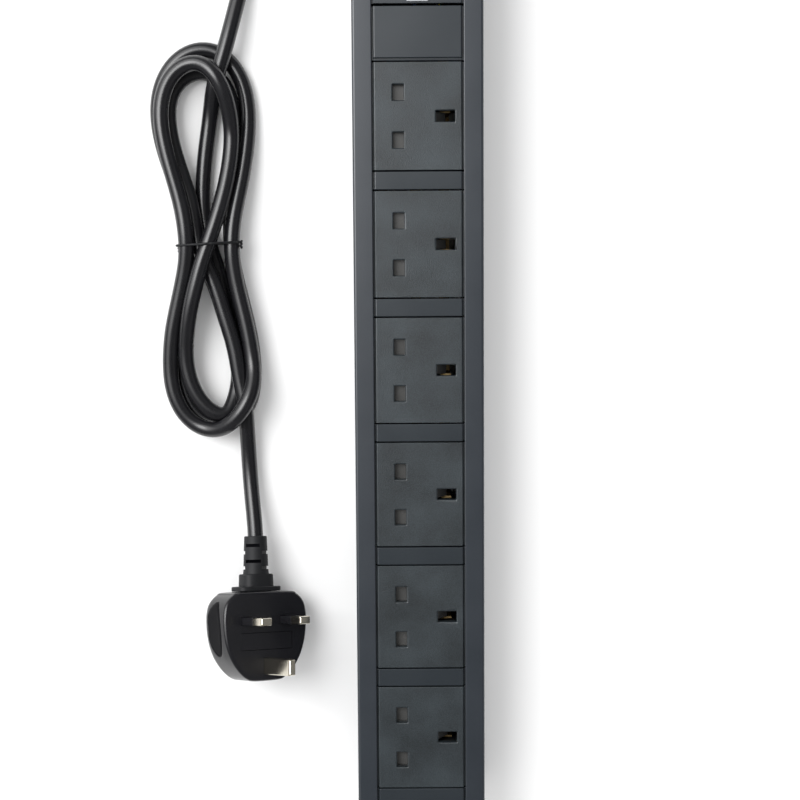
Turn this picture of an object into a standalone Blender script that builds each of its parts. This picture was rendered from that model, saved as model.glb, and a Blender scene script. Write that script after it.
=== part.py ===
"""Six-way 19-inch rack power strip with switched inlet end, fused plug and tied lead.

The strip lies on its back. +Z points out of the socket faces, +Y runs along the strip
towards the end that the lead comes out of, and the origin is under its middle.
Blender units are metres; most sizes below are written in millimetres through mm().
"""

import math

import bmesh
import bpy
from mathutils import Matrix, Vector

MM = 0.001

# ---------------------------------------------------------------- driving sizes, in millimetres
WIDTH = 62.0  # across the strip
DEPTH = 44.4  # back to front flange
BODY_LENGTH = 440.0  # over the end brackets
RACK_LENGTH = 482.6  # over the ears
RACK_HOLES = 465.1  # between the ears' slot centres
EAR_SLOT_PITCH = 31.75
GAP = 0.3  # between pieces that touch

WALL = 1.6  # extrusion wall
SLOT_HALF = 21.65  # half the slot between the front lips
MODULE_HALF = 20.85  # half the width of what fills the slot
MODULE_TOP = 44.1
FLANGE_HALF = 27.0  # half the width of a module under the lips
FLANGE_TOP = DEPTH - WALL - GAP
FLANGE_BOTTOM = 40.3
BRACKET = 2.0  # end bracket sheet
CHASSIS_HALF = BODY_LENGTH / 2 - BRACKET - GAP

SOCKETS = 6
SOCKET_CELL = 51.0
SPACER_CELL = 9.0
PITCH = SOCKET_CELL + SPACER_CELL
JOINT_LINE = 0.6  # between neighbouring modules
SWITCH_CELL = 47.45
WIDE_LINE = 1.2  # between the blank panel and the switch plate
LEDGE_WIDTH, LEDGE_DROP = 1.35, 1.1  # a step down along the blank panel's edge by the first socket
MODULES_HALF = 216.75  # half the length that the modules fill

PIN_SPREAD = 22.23  # live to neutral, and both to earth
LINE_X = -9.3  # live and neutral, from the strip's centre line
EARTH_X = LINE_X + PIN_SPREAD
LINE_HOLE = (5.2, 7.4)
EARTH_HOLE = (9.0, 5.2)
HOLE_CHAMFER = 0.4

SHUTTER_TOP = 39.6
SHUTTER_BOTTOM = 37.6
BASE_TOP = SHUTTER_BOTTOM - GAP
BASE_BOTTOM = 10.8
BUS_TOP = BASE_BOTTOM - GAP
BUS_BOTTOM = 9.0
CLIP_TOP = 33.0

GLAND_Z = 22.0
CORD = 7.8  # diameter
HANK_HEIGHT = 3 * CORD
TIE_Y = 58.9

PLUG_ROLL = math.radians(38)  # about the lead's own line
PLUG_PITCH = math.radians(11.5)  # its cable end is the lower one
PLUG_YAW = math.radians(1)
PLUG_FACE = Vector((-75.9, -134.5, 31.0))  # centre of the pin face
PLUG_WIDTH = 48.0
PLUG_HEIGHT = 43.6
PLUG_DEPTH = 21.5
LEAD_DEPTH = 9.5  # lead's axis behind the pin face
SLEEVE = 27.4  # strain relief, along the lead
LINE_PIN = (6.35, 4.0, 17.7)
EARTH_PIN = (4.0, 8.0, 22.7)
FUSE = (6.35, 25.4)

# ---------------------------------------------------------------- colours: base, roughness, metallic
FINISH = {
    "painted_aluminium": ((0.10, 0.105, 0.11), 0.42, 0.35),
    "black_plastic": ((0.045, 0.046, 0.05), 0.5, 0.0),
    "dark_steel": ((0.07, 0.07, 0.075), 0.4, 0.8),
    "shutter_plastic": ((0.16, 0.155, 0.15), 0.45, 0.0),
    "brass": ((0.75, 0.58, 0.25), 0.3, 1.0),
    "steel": ((0.6, 0.6, 0.6), 0.3, 1.0),
    "lens": ((0.75, 0.76, 0.78), 0.2, 0.0),
    "cord_pvc": ((0.02, 0.02, 0.022), 0.3, 0.0),
    "plug_plastic": ((0.022, 0.022, 0.025), 0.38, 0.0),
    "insulator": ((0.75, 0.75, 0.72), 0.6, 0.0),
    "live_brown": ((0.2, 0.09, 0.04), 0.45, 0.0),
    "neutral_blue": ((0.05, 0.15, 0.45), 0.45, 0.0),
    "earth_green": ((0.1, 0.4, 0.1), 0.45, 0.0),
    "ceramic": ((0.85, 0.83, 0.78), 0.4, 0.0),
}


def mm(x, y, z):
    return Vector((x, y, z)) * MM


def clear_scene():
    for old in list(bpy.data.objects):
        bpy.data.objects.remove(old, do_unlink=True)


def make_materials():
    made = {}
    for name, (colour, roughness, metallic) in FINISH.items():
        material = bpy.data.materials.new(name)
        material.use_nodes = True
        shader = material.node_tree.nodes["Principled BSDF"]
        shader.inputs["Base Color"].default_value = (*colour, 1.0)
        shader.inputs["Roughness"].default_value = roughness
        shader.inputs["Metallic"].default_value = metallic
        made[name] = material
    return made


clear_scene()
MATERIALS = make_materials()


# ---------------------------------------------------------------- making solids


def add(name, mesh, material=None, at=None, matrix=None):
    """A new object; at is its location in millimetres."""
    obj = bpy.data.objects.new(name, mesh)
    bpy.context.scene.collection.objects.link(obj)
    if material:
        mesh.materials.append(MATERIALS[material])
    if matrix is not None:
        obj.matrix_world = matrix
    if at is not None:
        obj.location = mm(*at)
    return obj


def loft(rings, smooth=False):
    """A closed mesh through rings of equal length, in millimetres, with flat ends."""
    bm = bmesh.new()
    rows = [[bm.verts.new(mm(*point)) for point in ring] for ring in rings]
    count = len(rows[0])
    for low, high in zip(rows, rows[1:]):
        for i in range(count):
            j = (i + 1) % count
            bm.faces.new((low[i], low[j], high[j], high[i]))
    bm.faces.new(reversed(rows[0]))
    bm.faces.new(rows[-1])
    bmesh.ops.recalc_face_normals(bm, faces=bm.faces)
    mesh = bpy.data.meshes.new("loft")
    bm.to_mesh(mesh)
    bm.free()
    if smooth:
        mesh.shade_smooth()
        mesh.set_sharp_from_angle(angle=math.radians(40))
    return mesh


def rectangle(cx, cy, sx, sy, z):
    hx, hy = sx / 2, sy / 2
    return [(cx - hx, cy - hy, z), (cx + hx, cy - hy, z), (cx + hx, cy + hy, z), (cx - hx, cy + hy, z)]


def disc(cx, cy, radius, z, sides):
    turn = 2 * math.pi / sides
    return [(cx + radius * math.cos(i * turn), cy + radius * math.sin(i * turn), z) for i in range(sides)]


def box(low, high):
    cx, cy = (low[0] + high[0]) / 2, (low[1] + high[1]) / 2
    size = (high[0] - low[0], high[1] - low[1])
    return loft([rectangle(cx, cy, *size, low[2]), rectangle(cx, cy, *size, high[2])])


def section(outline, y0, y1):
    """An outline of (x, z) points drawn out along Y."""
    return loft([[(x, y0, z) for x, z in outline], [(x, y1, z) for x, z in outline]])


def circle(radius, y, sides, x=0.0, z=0.0):
    turn = 2 * math.pi / sides
    return [(x + radius * math.cos(i * turn), y, z + radius * math.sin(i * turn)) for i in range(sides)]


def turned(profile, sides, x=0.0, z=0.0):
    """A solid turned about a line along Y, from (y, radius) pairs."""
    return loft([circle(radius, y, sides, x, z) for y, radius in profile], smooth=True)


def helper(name, mesh, at=None, matrix=None):
    """A cutter or a piece to be joined: left out of the build."""
    obj = add(name, mesh, at=at, matrix=matrix)
    obj.hide_render = True
    obj.display_type = "WIRE"
    return obj


def boolean(obj, other, operation="DIFFERENCE"):
    modifier = obj.modifiers.new(other.name, "BOOLEAN")
    modifier.operation = operation
    modifier.solver = "EXACT"
    modifier.object = other


def hole_cutter(name, x, y, size, low, high, chamfer=HOLE_CHAMFER):
    """A rectangular hole whose mouth, at the height high, is chamfered."""
    wide = [side + 2 * chamfer for side in size]
    rings = [rectangle(x, y, *size, low), rectangle(x, y, *size, high - chamfer)]
    rings += [rectangle(x, y, *wide, high), rectangle(x, y, *wide, high + 1.0)]
    return helper(name, loft(rings))


def smooth_curve(route, step):
    """Points about step apart on a Catmull-Rom curve through the route."""
    points = [Vector(p) for p in route]
    padded = [2 * points[0] - points[1], *points, 2 * points[-1] - points[-2]]
    dense = []
    for a, b, c, d in zip(padded, padded[1:], padded[2:], padded[3:]):
        for i in range(12):
            t = i / 12
            bend = (2 * a - 5 * b + 4 * c - d) * t * t + (3 * b - 3 * c + d - a) * t**3
            dense.append(0.5 * (2 * b + (c - a) * t + bend))
    dense.append(points[-1])
    lengths = [0.0]
    for a, b in zip(dense, dense[1:]):
        lengths.append(lengths[-1] + (b - a).length)
    count = max(2, round(lengths[-1] / step) + 1)
    spaced, k = [], 0
    for i in range(count):
        want = lengths[-1] * i / (count - 1)
        while k < len(lengths) - 2 and lengths[k + 1] < want:
            k += 1
        share = (want - lengths[k]) / (lengths[k + 1] - lengths[k])
        spaced.append(dense[k].lerp(dense[k + 1], share))
    return spaced


def tube(name, route, diameter, material, step, resolution=2):
    data = bpy.data.curves.new(name, "CURVE")
    data.dimensions = "3D"
    data.bevel_depth = diameter / 2 * MM
    data.bevel_resolution = resolution
    data.use_fill_caps = True
    points = smooth_curve(route, step)
    spline = data.splines.new("POLY")
    spline.points.add(len(points) - 1)
    for target, point in zip(spline.points, points):
        target.co = (*(point * MM), 1.0)
    obj = bpy.data.objects.new(name, data)
    bpy.context.scene.collection.objects.link(obj)
    data.materials.append(MATERIALS[material])
    return obj


# ---------------------------------------------------------------- chassis and end brackets

PORT_X = 26.2  # screw ports in the bottom corners
PORT_Z = 4.8
PORT_BLOCK = 3.2
GLAND_HOLE = 8.2


def chassis():
    half, inner, edge = WIDTH / 2, WIDTH / 2 - WALL, 0.8
    right = [(SLOT_HALF, DEPTH), (half - edge, DEPTH), (half - edge * 0.3, DEPTH - edge * 0.3)]
    right += [(half, DEPTH - edge), (half, edge), (half - edge, 0.0)]
    inside = [(PORT_X - PORT_BLOCK, WALL), (PORT_X - PORT_BLOCK, PORT_Z + PORT_BLOCK)]
    inside += [(inner, PORT_Z + PORT_BLOCK), (inner, DEPTH - WALL), (SLOT_HALF, DEPTH - WALL)]
    outline = right + [(-x, z) for x, z in reversed(right)] + [(-x, z) for x, z in reversed(inside)] + inside
    body = add("chassis_channel", section(outline, -CHASSIS_HALF, CHASSIS_HALF), "painted_aluminium")
    for side in (-1, 1):
        port = turned([(-CHASSIS_HALF - 1, 1.9), (CHASSIS_HALF + 1, 1.9)], 10, side * PORT_X, PORT_Z)
        boolean(body, helper(f"cut_port_{side}", port))
    return body


def end_bracket(name, end):
    """A flat end plate folded outwards into a rack ear. end is +1 or -1 along Y."""
    plate_in, plate_out = BODY_LENGTH / 2 - BRACKET, BODY_LENGTH / 2
    fold = 1.2
    side = [(plate_in, 0.0), (plate_out, 0.0), (plate_out, DEPTH - BRACKET - fold)]
    side += [(plate_out + fold, DEPTH - BRACKET), (RACK_LENGTH / 2, DEPTH - BRACKET)]
    side += [(RACK_LENGTH / 2, DEPTH), (plate_out, DEPTH), (plate_in + 0.6, DEPTH - 0.6)]
    side.append((plate_in, DEPTH - BRACKET))
    half = WIDTH / 2
    rings = [[(x, end * y, z) for y, z in side] for x in (-half, half)]
    bracket = add(name, loft(rings), "dark_steel")
    for x in (-EAR_SLOT_PITCH / 2, EAR_SLOT_PITCH / 2):
        slot = []
        for z in (DEPTH - BRACKET - 1, DEPTH + 1):
            ring = []
            for i in range(16):
                angle = math.pi * (i + 0.5) / 8
                shift = 1.9 if math.sin(angle) > 0 else -1.9
                y = end * RACK_HOLES / 2 + shift + 3.4 * math.sin(angle)
                ring.append((x + 3.4 * math.cos(angle), y, z))
            slot.append(ring)
        boolean(bracket, helper(f"cut_{name}_{x:.0f}", loft(slot)))
    for x in (-PORT_X, PORT_X):
        reach = sorted((end * (plate_in - 1), end * (plate_out + 1)))
        screw_hole = turned([(y, 2.4) for y in reach], 12, x, PORT_Z)
        boolean(bracket, helper(f"cut_{name}_screw_{x:.0f}", screw_hole))
    if end > 0:
        hole = turned([(plate_in - 1, GLAND_HOLE), (plate_out + 1, GLAND_HOLE)], 24, 0.0, GLAND_Z)
        boolean(bracket, helper("cut_gland_hole", hole))
    return bracket


def end_screw(name, x, end):
    out = BODY_LENGTH / 2 + GAP
    profile = [(out - 11.0, 1.2), (out - 10.0, 1.6), (out, 1.6)]
    profile += [(out, 3.9), (out + 1.2, 3.6), (out + 2.3, 2.0)]
    ring = profile if end > 0 else [(-y, radius) for y, radius in reversed(profile)]
    add(name, turned(ring, 16, x, PORT_Z), "steel")


# ---------------------------------------------------------------- what fills the front slot


def module_section(skirt_bottom=FLANGE_BOTTOM):
    """Section of a front module: a plate in the slot with a flange under the lips.

    A lower skirt_bottom makes the flange's outer edges reach down to the base behind."""
    edge = 0.4
    right = [(MODULE_HALF - edge, MODULE_TOP), (MODULE_HALF, MODULE_TOP - edge), (MODULE_HALF, FLANGE_TOP)]
    right += [(FLANGE_HALF, FLANGE_TOP), (FLANGE_HALF, skirt_bottom)]
    if skirt_bottom < FLANGE_BOTTOM:
        right += [(FLANGE_HALF - 3.0, skirt_bottom), (FLANGE_HALF - 3.0, FLANGE_BOTTOM)]
    return right + [(-x, z) for x, z in reversed(right)]


def socket_centres():
    top = -MODULES_HALF + SPACER_CELL + SOCKETS * PITCH - SPACER_CELL
    return [top - SOCKET_CELL / 2 - i * PITCH for i in range(SOCKETS)]


def socket_face(number, y):
    half = (SOCKET_CELL - JOINT_LINE) / 2
    plate = section(module_section(SHUTTER_BOTTOM), y - half, y + half)
    face = add(f"socket_face_{number}", plate, "black_plastic")
    holes = [(LINE_X, y + PIN_SPREAD / 2, LINE_HOLE), (LINE_X, y - PIN_SPREAD / 2, LINE_HOLE)]
    holes.append((EARTH_X, y, EARTH_HOLE))
    for i, (x, at_y, size) in enumerate(holes):
        boolean(face, hole_cutter(f"cut_face_{number}_{i}", x, at_y, size, FLANGE_BOTTOM - 1, MODULE_TOP))
    return face


def shutter(number, y):
    """A shutter, sliding towards -X: a bar under live and neutral, a stem, an earth pin's ramp."""
    ramp_left, ramp_right = EARTH_X - 4.3, EARTH_X + 0.3
    bar_left, bar_right, bar_half = LINE_X - 3.9, LINE_X + 3.9, 15.6
    stem_left = bar_left + 2
    top, ramp_foot = SHUTTER_TOP - SHUTTER_BOTTOM, -4.6
    at = (0, y, SHUTTER_BOTTOM)
    side = [(stem_left, 0), (ramp_left, 0), (ramp_left, ramp_foot - 1), (ramp_right, ramp_foot - 1)]
    side += [(ramp_right, ramp_foot), (ramp_left, top), (stem_left, top)]
    piece = add(f"shutter_{number}", section(side, -2.3, 2.3), "shutter_plastic", at=at)
    bar = box((bar_left, -bar_half, 0), (bar_right, bar_half, top))
    boolean(piece, helper(f"join_bar_{number}", bar, at=at), "UNION")


def socket_base(number, y):
    half_x, half_y = 26.5, 25.0
    base = add(
        f"socket_base_{number}",
        box((-half_x, y - half_y, BASE_BOTTOM), (half_x, y + half_y, BASE_TOP)),
        "black_plastic",
    )
    low, high = BASE_BOTTOM - 1, BASE_TOP + 1
    wells = [
        ((LINE_X - 4.4, y + 6.2, low), (LINE_X + 4.4, y + 16.0, high)),
        ((LINE_X - 4.4, y - 16.0, low), (LINE_X + 4.4, y - 6.2, high)),
        ((EARTH_X - 5.6, y - 4.4, low), (EARTH_X + 5.6, y + 4.4, high)),
        ((1.6, y - 3.0, 31.4), (EARTH_X, y + 3.0, high)),
    ]
    for i, (a, b) in enumerate(wells):
        boolean(base, helper(f"cut_base_{number}_{i}", box(a, b)))


def plain_module(name, y0, y1):
    return add(name, section(module_section(), y0, y1), "black_plastic")


def blank_panel():
    low = socket_centres()[0] + (SOCKET_CELL + JOINT_LINE) / 2
    panel = plain_module("blank_panel", low, MODULES_HALF - SWITCH_CELL - WIDE_LINE / 2)
    reach = MODULE_HALF + 1
    ledge = box((-reach, low - 1, MODULE_TOP - LEDGE_DROP), (reach, low + LEDGE_WIDTH, MODULE_TOP + 1))
    boolean(panel, helper("cut_blank_ledge", ledge))


# ---------------------------------------------------------------- bus bars and their contacts


def bus_bar(name, bar_x, clip_x, offset, across, y_end):
    """A strip along the sockets with a two-leaf contact standing up at each.

    across says which way the leaves face: X for live and neutral, Y for earth."""
    half = 2.6
    low_y = socket_centres()[-1] - 22
    bar = add(name, box((bar_x - half, low_y, BUS_BOTTOM), (bar_x + half, y_end, BUS_TOP)), "brass")
    for i, y in enumerate(socket_centres()):
        y = y + offset
        if abs(clip_x - bar_x) > 0.1:
            low_x, high_x = sorted((bar_x, clip_x + math.copysign(3.6, clip_x - bar_x)))
            tab = helper(f"join_{name}_tab_{i}", box((low_x, y - 3, BUS_BOTTOM), (high_x, y + 3, BUS_TOP)))
            boolean(bar, tab, "UNION")
        for side in (-1, 1):
            near, far = sorted((side * 2.4, side * 3.4))
            if across == "X":
                leaf = box((clip_x + near, y - 3, BUS_BOTTOM + 0.2), (clip_x + far, y + 3, CLIP_TOP))
            else:
                leaf = box((clip_x - 2.4, y + near, BUS_BOTTOM + 0.2), (clip_x + 2.4, y + far, CLIP_TOP))
            boolean(bar, helper(f"join_{name}_{i}_{side}", leaf), "UNION")
        if across == "Y":
            foot = box((clip_x - 2.5, y - 3.6, BUS_BOTTOM), (clip_x + 2.5, y + 3.6, BUS_TOP))
            boolean(bar, helper(f"join_{name}_foot_{i}", foot), "UNION")


def insulator_tray():
    half, floor = 22.6, WALL + GAP
    top = BUS_BOTTOM - GAP
    outline = [(-half, floor), (half, floor), (half, top), (half - 1.5, top), (half - 1.5, floor + 1.5)]
    for x in (EARTH_X, -1.0, -17.5):
        outline += [(x + 1.5, floor + 1.5), (x + 1.5, top), (x - 1.5, top), (x - 1.5, floor + 1.5)]
    outline += [(-half + 1.5, floor + 1.5), (-half + 1.5, top), (-half, top)]
    add("insulator_tray", section(outline, socket_centres()[-1] - 25, socket_centres()[0] + 30), "insulator")


# ---------------------------------------------------------------- switch end

SWITCH_Y = 200.0
ROCKER_PIVOT = (0.0, SWITCH_Y, 44.6)
ROCKER_TILT = math.radians(8)
BEZEL = (22.0, 28.0)
LENS_Y = 176.4
LENS = (10.5, 11.4)


def switch_plate():
    start = MODULES_HALF - SWITCH_CELL + WIDE_LINE / 2
    plate = plain_module("switch_plate", start, MODULES_HALF - JOINT_LINE)
    window = (19.4, 24.4)
    boolean(plate, hole_cutter("cut_rocker_window", 0, SWITCH_Y, window, FLANGE_BOTTOM - 1, MODULE_TOP, 0.2))
    lens_hole = (LENS[0] - 1.4, LENS[1] - 1.4)
    boolean(plate, hole_cutter("cut_lens_hole", 0, LENS_Y, lens_hole, FLANGE_BOTTOM - 1, MODULE_TOP, 0.1))


def switch_body():
    """Housing of the double-pole rocker switch, with its bezel on the plate."""
    low, top, bezel_top = 25.4, MODULE_TOP + GAP, MODULE_TOP + GAP + 1.6
    inner = (18.8, 23.8)
    rings = [rectangle(0, SWITCH_Y, *inner, low), rectangle(0, SWITCH_Y, *inner, top)]
    rings += [rectangle(0, SWITCH_Y, *BEZEL, top), rectangle(0, SWITCH_Y, *BEZEL, bezel_top - 0.7)]
    rings += [rectangle(0, SWITCH_Y, BEZEL[0] - 1.4, BEZEL[1] - 1.4, bezel_top)]
    body = add("switch_body", loft(rings), "plug_plastic")
    pocket = box((-8.0, SWITCH_Y - 10.6, 33.0), (8.0, SWITCH_Y + 10.6, bezel_top + 1))
    boolean(body, helper("cut_rocker_pocket", pocket))


def switch_rocker():
    """A rocker that tips about a line across the strip; it stands tipped one way at rest."""
    half_x, half_y, low, top = 7.4, 9.9, -4.0, 2.6
    side = [(-half_y, top + 1.4), (0.0, top - 0.6), (half_y, top + 1.4), (half_y - 0.9, low)]
    side += [(2.2, low - 4.0), (-2.2, low - 4.0), (-half_y + 0.9, low)]
    rings = [[(x, y, z) for y, z in side] for x in (-half_x, half_x)]
    rocker = add("switch_rocker", loft(rings), "black_plastic", at=ROCKER_PIVOT)
    rocker.rotation_euler.x = -ROCKER_TILT


def indicator():
    top, low = MODULE_TOP + GAP, FLANGE_BOTTOM - 1.5
    inner = (LENS[0] - 2.0, LENS[1] - 2.0)
    rings = [rectangle(0, LENS_Y, *inner, low), rectangle(0, LENS_Y, *inner, top)]
    rings += [rectangle(0, LENS_Y, *LENS, top), rectangle(0, LENS_Y, *LENS, top + 0.7)]
    rings += [rectangle(0, LENS_Y, LENS[0] - 1.2, LENS[1] - 1.2, top + 1.3)]
    add("indicator_lens", loft(rings), "lens")
    lamp = loft([disc(0, LENS_Y, 2.8, z, 12) for z in (26.0, low - GAP)], smooth=True)
    add("indicator_lamp", lamp, "lens")


def terminals_and_wires():
    """The earth terminal on the chassis floor, and the three cores inside the strip."""
    end = LEAD_ROUTE[0][1] - 1.1
    floor = WALL + GAP
    stud = [(3.4, 0.0), (3.4, 5.0), (2.0, 5.0), (2.0, 9.0)]
    rings = [disc(17.0, 186.0, radius, floor + z, 8) for radius, z in stud]
    add("earth_terminal", loft(rings), "brass")
    joint = (149.1, 9.75)  # Y and Z where a core meets its bus bar
    live = [(-2, end, 20.6), (-7, end - 8, 16), (-15, 190, 10), (-17, 172, 8.6)]
    live += [(-17.5, 160, 9.6), (-17.5, *joint)]
    neutral = [(0, end, 23.3), (0, end - 8, 20), (-1, 190, 11), (-1, 172, 8), (-1, 160, 9.6)]
    neutral.append((-1, *joint))
    earth = [(2, end, 20.6), (7, end - 8, 16), (11.5, 196, 10), (12, 175, 8.6), (EARTH_X, 160, 9.6)]
    earth.append((EARTH_X, *joint))
    tube("live_wire", live, 2.4, "live_brown", 8)
    tube("neutral_wire", neutral, 2.4, "neutral_blue", 8)
    tube("earth_wire", earth, 2.4, "earth_green", 8)


# ---------------------------------------------------------------- gland and lead


def gland():
    out = BODY_LENGTH / 2 + GAP
    bore = CORD / 2 + GAP
    body = turned(
        [
            (out - 7.5, GLAND_HOLE - GAP),
            (out, GLAND_HOLE - GAP),
            (out, 11.0),
            (out + 4.5, 11.0),
            (out + 4.5, 9.8),
            (out + 9.5, 9.8),
            (out + 12.0, 8.4),
            (out + 20.0, 6.0),
        ],
        24,
        0.0,
        GLAND_Z,
    )
    piece = add("cable_gland", body, "plug_plastic")
    channel = turned([(out - 10, bore), (out + 30, bore)], 12, 0.0, GLAND_Z)
    boolean(piece, helper("cut_gland_bore", channel))
    inner = BODY_LENGTH / 2 - BRACKET - GAP
    nut_rings = [circle(11.5, y, 6, 0.0, GLAND_Z) for y in (inner - 3.2, inner)]
    nut = add("gland_locknut", loft(nut_rings), "plug_plastic")
    hole = turned([(inner - 5, GLAND_HOLE), (inner + 2, GLAND_HOLE)], 24, 0.0, GLAND_Z)
    boolean(nut, helper("cut_locknut", hole))


LEAD_ROUTE = [  # from the gland, round outside the strip's end, to the top of the hank
    (0.0, 212.6, 22.0),
    (0.0, 230.0, 22.0),
    (0.0, 248.0, 22.0),
    (-1.2, 263.0, 19.4),
    (-6.8, 279.0, 14.4),
    (-18.0, 293.0, 9.0),
    (-34.0, 299.5, 5.4),
    (-51.0, 296.0, 4.1),
    (-64.5, 284.0, 3.9),
    (-72.5, 267.0, 3.9),
    (-76.5, 247.0, 3.9),
    (-79.0, 226.0, 3.9),
    (-82.0, 204.0, 4.0),
    (-85.5, 188.0, 5.4),
    (-88.4, 175.0, 8.6),
    (-91.5, 162.9, 11.2),
    (-94.3, 152.8, 11.7),
    (-95.9, 147.4, 11.7),
]
TAIL_ROUTE = [  # from the foot of the hank to the inside of the plug's strain relief
    (-87.6, -16.0, 11.9),
    (-86.9, -25.0, 10.9),
    (-86.3, -34.0, 9.6),
    (-86.0, -43.0, 8.0),
    (-85.6, -53.0, 7.1),
    (-84.9, -63.0, 8.2),
    (-84.0, -72.0, 10.3),
    (-83.1, -80.5, 12.3),
    (-82.57, -87.6, 13.79),
    (-82.42, -96.0, 15.5),
]

# Outer shape of the hank: for each lobe, (x at the waist, x at the widest) on the left and
# right, the Y of the widest part, and the (x, y) of the tip.
HANK_LOBES = [
    ((-118.2, -132.4), (-88.6, -80.5), 123.8, (-105.2, 158.4)),
    ((-118.2, -127.9), (-88.6, -78.4), -4.0, (-104.1, -37.6)),
]


def lobe_outline(left, right, wide_y, tip, leg=4, arch=5):
    """Points from the waist's left side round the lobe to its right side."""
    points = []
    for i in range(1, leg + 1):
        t = i / leg
        ease = (1 - math.cos(math.pi * t)) / 2
        points.append((left[0] + (left[1] - left[0]) * ease, TIE_Y + (wide_y - TIE_Y) * t))
    for i in range(1, 2 * arch):
        angle = math.pi * i / (2 * arch)
        reach = left[1] - tip[0] if angle < math.pi / 2 else tip[0] - right[1]
        points.append((tip[0] + reach * math.cos(angle), wide_y + (tip[1] - wide_y) * math.sin(angle)))
    for i in range(leg, 0, -1):
        t = i / leg
        ease = (1 - math.cos(math.pi * t)) / 2
        points.append((right[0] + (right[1] - right[0]) * ease, TIE_Y + (wide_y - TIE_Y) * t))
    return points


WAIST = ((-118.2, 1.9), (-88.6, 16.6))  # the bundle's corners inside the tie
TIE_THICK = 1.4
TIE_HALF = 1.2


def hank():
    upper = lobe_outline(*HANK_LOBES[0])
    lower = lobe_outline(*HANK_LOBES[1])
    outline = upper + [(HANK_LOBES[0][1][0], TIE_Y)] + lower[::-1] + [(HANK_LOBES[0][0][0], TIE_Y)]
    solid = loft([[(x, y, z) for x, y in outline] for z in (0.1, HANK_HEIGHT)])
    piece = add("cord_hank", solid, "cord_pvc")
    (left, low), (right, high) = WAIST
    half = TIE_HALF + GAP
    outer = [(left - 20, -5), (right + 20, -5), (right + 20, HANK_HEIGHT + 5), (left - 20, HANK_HEIGHT + 5)]
    inner = [(left, low), (right, low), (right, high), (left, high)]
    boolean(piece, helper("cut_hank_groove", frame_ring(outer, inner, TIE_Y - half, TIE_Y + half)))
    ends = {"lead": (LEAD_ROUTE[-1], LEAD_ROUTE[-2]), "tail": TAIL_ROUTE[:2]}
    for name, (end, before) in ends.items():
        back = (Vector(before) - Vector(end)).normalized()
        turn = Vector((0, 1, 0)).rotation_difference(back).to_matrix().to_4x4()
        place = Matrix.Translation((Vector(end) - GAP * back) * MM) @ turn
        recess = turned([(0, CORD / 2 + 2 * GAP), (30, CORD / 2 + 2 * GAP)], 16)
        boolean(piece, helper(f"cut_hank_{name}", recess, matrix=place))


def frame_ring(outer, inner, y0, y1):
    """A rectangular ring: the outline outer less inner, (x, z) points, drawn out along Y."""
    bm = bmesh.new()
    loops = []
    for corners, y in ((outer, y0), (outer, y1), (inner, y1), (inner, y0)):
        loops.append([bm.verts.new(mm(x, y, z)) for x, z in corners])
    count = len(outer)
    for k in range(4):
        a, b = loops[k], loops[(k + 1) % 4]
        for i in range(count):
            j = (i + 1) % count
            bm.faces.new((a[i], a[j], b[j], b[i]))
    bmesh.ops.recalc_face_normals(bm, faces=bm.faces)
    mesh = bpy.data.meshes.new("frame_ring")
    bm.to_mesh(mesh)
    bm.free()
    return mesh


def hank_tie():
    (left, low), (right, high) = WAIST
    loops = []
    for out in (GAP + TIE_THICK, GAP):
        corners = [(left - out, low - out), (right + out, low - out)]
        loops.append(corners + [(right + out, high + out), (left - out, high + out)])
    add("hank_tie", frame_ring(*loops, TIE_Y - TIE_HALF, TIE_Y + TIE_HALF), "cord_pvc")


# ---------------------------------------------------------------- plug

# In the plug's own frame x runs across the pin face, y towards the lead, z out along the pins.
PLUG_TURN = Matrix.Rotation(-PLUG_PITCH, 4, "X") @ Matrix.Rotation(PLUG_ROLL, 4, "Y")
PLUG_MATRIX = Matrix.Translation(PLUG_FACE * MM) @ Matrix.Rotation(PLUG_YAW, 4, "Z") @ PLUG_TURN
PIN_LINE_Y = 7.6  # live and neutral, above the middle of the pin face
EARTH_PIN_Y = PIN_LINE_Y - PIN_SPREAD
CARRIER = (29.6, 8.4, 9.0)
CARRIER_Y = -2.4


def plug_outline(inset=0.0):
    """The plug seen from its pins: straight at the lead, narrowing to the earth pin."""
    half, top, low, corner = PLUG_WIDTH / 2, PLUG_HEIGHT / 2, -PLUG_HEIGHT / 2, 10.5
    right = []
    for angle in (90, 60, 30, 0):
        turn = math.radians(angle)
        right.append((half - corner * (1 - math.cos(turn)), top - corner * (1 - math.sin(turn))))
    right += [(half, 4.5), (half - 1.0, -2.5), (half - 3.1, -8.8), (half - 5.8, -13.6)]
    right += [(half - 9.1, -17.6), (half - 13.0, low + 1.2), (half - 17.5, low)]
    share = (half - inset) / half
    outline = right + [(-x, y) for x, y in reversed(right)]
    return [(x * share, y * (top - inset) / top) for x, y in outline]


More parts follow.
